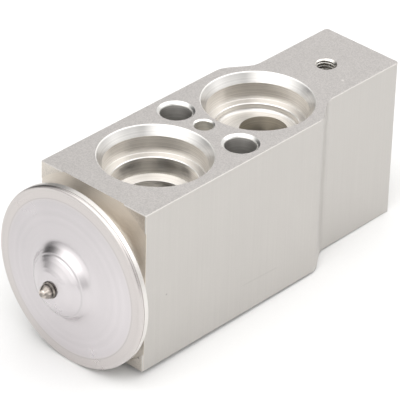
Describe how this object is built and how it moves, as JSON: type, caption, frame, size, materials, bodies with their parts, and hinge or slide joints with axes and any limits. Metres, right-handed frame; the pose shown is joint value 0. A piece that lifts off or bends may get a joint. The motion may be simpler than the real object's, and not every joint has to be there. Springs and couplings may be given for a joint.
{
  "type": "expansion valve",
  "caption": "Block type thermostatic expansion valve: stepped metal block with two large stepped ports, two through bolt holes, and a round diaphragm head on its end.",
  "frame": {"origin": "midway between the two bolt holes, on the back (evaporator) face", "axes": "+X along the valve from the power head to the adjusting screw, +Z from the back face to the pipe face, the bolt holes lie along Y"},
  "size_m": [0.1057, 0.044, 0.044],
  "materials": {
    "block_aluminium": "milled",
    "head_steel": "polished stainless steel",
    "inner_steel": "ground steel",
    "screw_steel": "turned steel",
    "brass": "turned",
    "rod_aluminium": "turned",
    "seal_rubber": "smooth rubber"
  },
  "bodies": {
    "block": {"valve_body": "block_aluminium", "head_cover": "head_steel", "head_housing": "head_steel", "diaphragm": "inner_steel", "charge_plug": "head_steel", "head_seal": "seal_rubber", "rod_seal": "seal_rubber", "rod_seal_retainer": "inner_steel", "valve_seat": "inner_steel", "valve_spring": "inner_steel"},
    "valve_train": {"diaphragm_pad": "brass", "sensing_rod": "rod_aluminium", "push_pin": "inner_steel", "valve_ball": "inner_steel", "ball_holder": "inner_steel", "damping_spring": "inner_steel"},
    "adjuster_carriage": {"adjuster_seal": "seal_rubber"},
    "adjuster": {"adjusting_screw": "screw_steel"}
  },
  "joints": [
    {"name": "valve_stroke", "type": "slide", "parent": "block", "child": "valve_train", "axis": [1, 0, 0], "range_m": [-0.0007, 0], "stiffness_N_per_m": 10000, "springref_m": 0.002, "deforming": ["diaphragm", "valve_spring"]},
    {"name": "adjuster_travel", "type": "slide", "parent": "block", "child": "adjuster_carriage", "axis": [1, 0, 0], "range_m": [-0.0015, 0.001], "deforming": ["valve_spring"]},
    {"name": "adjuster_turn", "type": "hinge", "parent": "adjuster_carriage", "child": "adjuster", "pos_m": [0.0424, 0, 0.0205], "axis": [1, 0, 0], "range_deg": [-540, 360]}
  ],
  "couplings": [
    {"joint": "adjuster_turn", "follows": "adjuster_travel", "rad_per_m": 6283.2}
  ]
}
